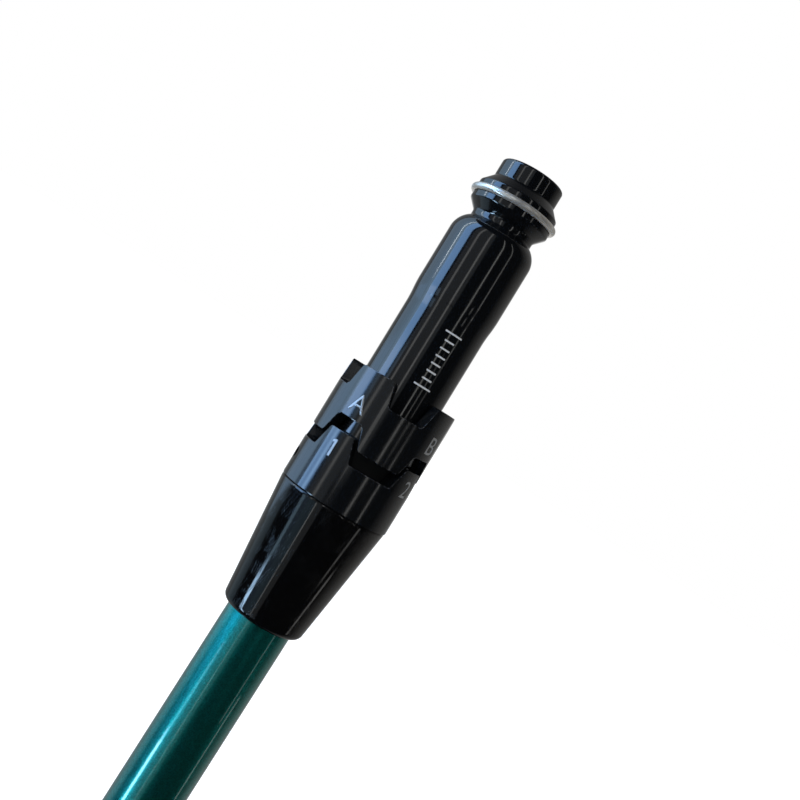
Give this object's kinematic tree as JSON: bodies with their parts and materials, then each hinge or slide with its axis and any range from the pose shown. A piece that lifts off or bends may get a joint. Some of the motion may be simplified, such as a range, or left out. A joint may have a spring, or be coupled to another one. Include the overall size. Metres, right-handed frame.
{
  "type": "adjustable golf shaft adapter",
  "caption": "Black adjustable adapter sleeve on the tip of a painted hollow shaft, with a castellated index ring that slides on it, a wire retaining ring and a tapered ferrule.",
  "frame": {"origin": "middle of the threaded tip's end face, where the adapter's screw enters", "axes": "+Z points out of the tip along the sleeve's axis, away from the shaft; -Y faces the index marks 1, 2, A and B; the shaft leaves downwards, leaning 1 degree towards -X"},
  "size_m": [0.0144, 0.0144, 0.1001],
  "materials": {
    "sleeve_anodised": "gloss black anodised",
    "ring_anodised": "satin black anodised",
    "spring_wire": "bright drawn wire",
    "ferrule_plastic": "polished black",
    "shaft_paint": "metallic teal lacquer over carbon laminate",
    "adhesive": "cured epoxy",
    "plug_rubber": "matte"
  },
  "bodies": {
    "adapter": {"adapter_sleeve": "sleeve_anodised", "ferrule": "ferrule_plastic", "shaft_tip": "shaft_paint", "epoxy_bond": "adhesive", "tip_plug": "plug_rubber"},
    "ring": {"index_ring": "ring_anodised"},
    "retainer": {"snap_ring": "spring_wire"}
  },
  "joints": [
    {"name": "index_ring_slide", "type": "slide", "parent": "adapter", "child": "ring", "axis": [0, 0, 1], "range_m": [-0.0016, 0.0244]},
    {"name": "retaining_ring_turn", "type": "hinge", "parent": "adapter", "child": "retainer", "pos_m": [0, 0, -0.0047], "axis": [0, 0, 1], "continuous": true}
  ]
}
